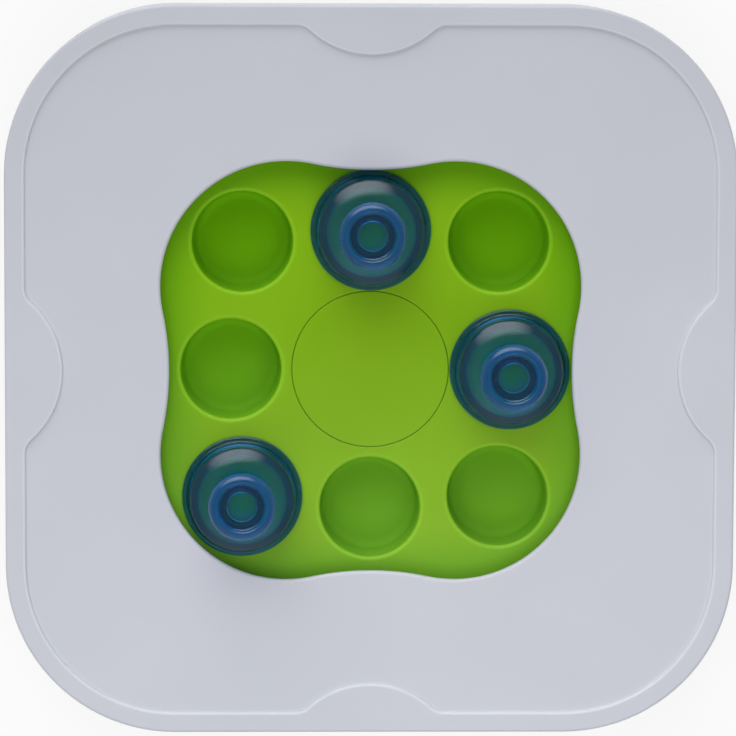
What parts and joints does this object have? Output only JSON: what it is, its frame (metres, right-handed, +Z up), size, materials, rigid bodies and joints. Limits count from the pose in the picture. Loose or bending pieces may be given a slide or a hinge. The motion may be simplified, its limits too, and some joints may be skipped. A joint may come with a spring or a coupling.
{
  "type": "small pet puzzle toy",
  "caption": "Square treat puzzle board for small pets: pale round-cornered shell, sunken lobed tray of round wells, flush centre lid and see-through lift-off cones.",
  "frame": {"origin": "on the table, under the middle of the board", "axes": "+Z up, +X to the board's right and +Y to its rear, as seen from the front (-Y) with the picture's lower edge nearest"},
  "size_m": [0.25, 0.25, 0.0544],
  "materials": {
    "shell_plastic": "satin moulded plastic, pale grey-white",
    "tray_plastic": "satin moulded plastic, leaf green",
    "cone_plastic": "glossy see-through tinted plastic, deep blue",
    "screw_steel": "zinc plated",
    "foot_rubber": "matte"
  },
  "bodies": {
    "board": {"base_shell": "shell_plastic", "well_tray": "tray_plastic", "bottom_cover": "shell_plastic", "tray_screws": "screw_steel", "cover_screws": "screw_steel", "front_left_foot": "foot_rubber", "front_right_foot": "foot_rubber", "rear_left_foot": "foot_rubber", "rear_right_foot": "foot_rubber"},
    "lid": {"centre_lid": "tray_plastic"},
    "rear_cone_body": {"rear_cone": "cone_plastic"},
    "right_cone_body": {"right_cone": "cone_plastic"},
    "front_left_cone_body": {"front_left_cone": "cone_plastic"}
  },
  "joints": [
    {"name": "lid_lift", "type": "slide", "parent": "board", "child": "lid", "axis": [0, 0, 1], "range_m": [0, 0.042]},
    {"name": "rear_cone_lift", "type": "slide", "parent": "board", "child": "rear_cone_body", "axis": [0, 0, 1], "range_m": [0, 0.045]},
    {"name": "right_cone_lift", "type": "slide", "parent": "board", "child": "right_cone_body", "axis": [0, 0, 1], "range_m": [0, 0.045]},
    {"name": "front_left_cone_lift", "type": "slide", "parent": "board", "child": "front_left_cone_body", "axis": [0, 0, 1], "range_m": [0, 0.045]}
  ]
}
